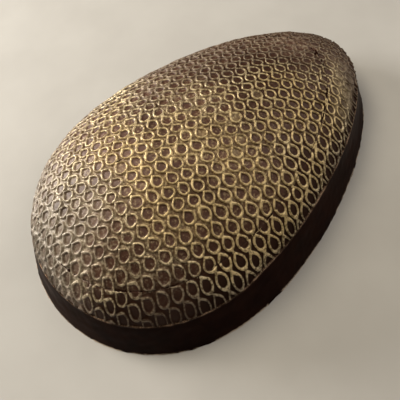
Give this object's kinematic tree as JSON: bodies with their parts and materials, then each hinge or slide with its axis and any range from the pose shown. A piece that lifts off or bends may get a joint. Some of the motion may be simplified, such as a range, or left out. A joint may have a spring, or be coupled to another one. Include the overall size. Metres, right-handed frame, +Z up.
{
  "type": "moulded half-egg rosin cake",
  "caption": "Dark moulded half-egg cake with a flat underside, a plain drafted base band and a domed top covered in raised teardrop loops dusted gold.",
  "frame": {"origin": "middle of the bounding rectangle of the flat underside", "axes": "+X along the long axis towards the small end of the egg, +Z up from the flat underside, +Y to the left of +X"},
  "size_m": [0.0684, 0.045, 0.0202],
  "materials": {
    "dark_cast": "very dark brown casting, smooth, satin to gloss",
    "gold_dusted": "dark brown casting with raised loops dusted in satin gold, granular between the loops"
  },
  "bodies": {
    "root": {"base_layer": "dark_cast", "shoulder_layer": "gold_dusted", "crown_cap": "gold_dusted"}
  },
  "joints": []
}
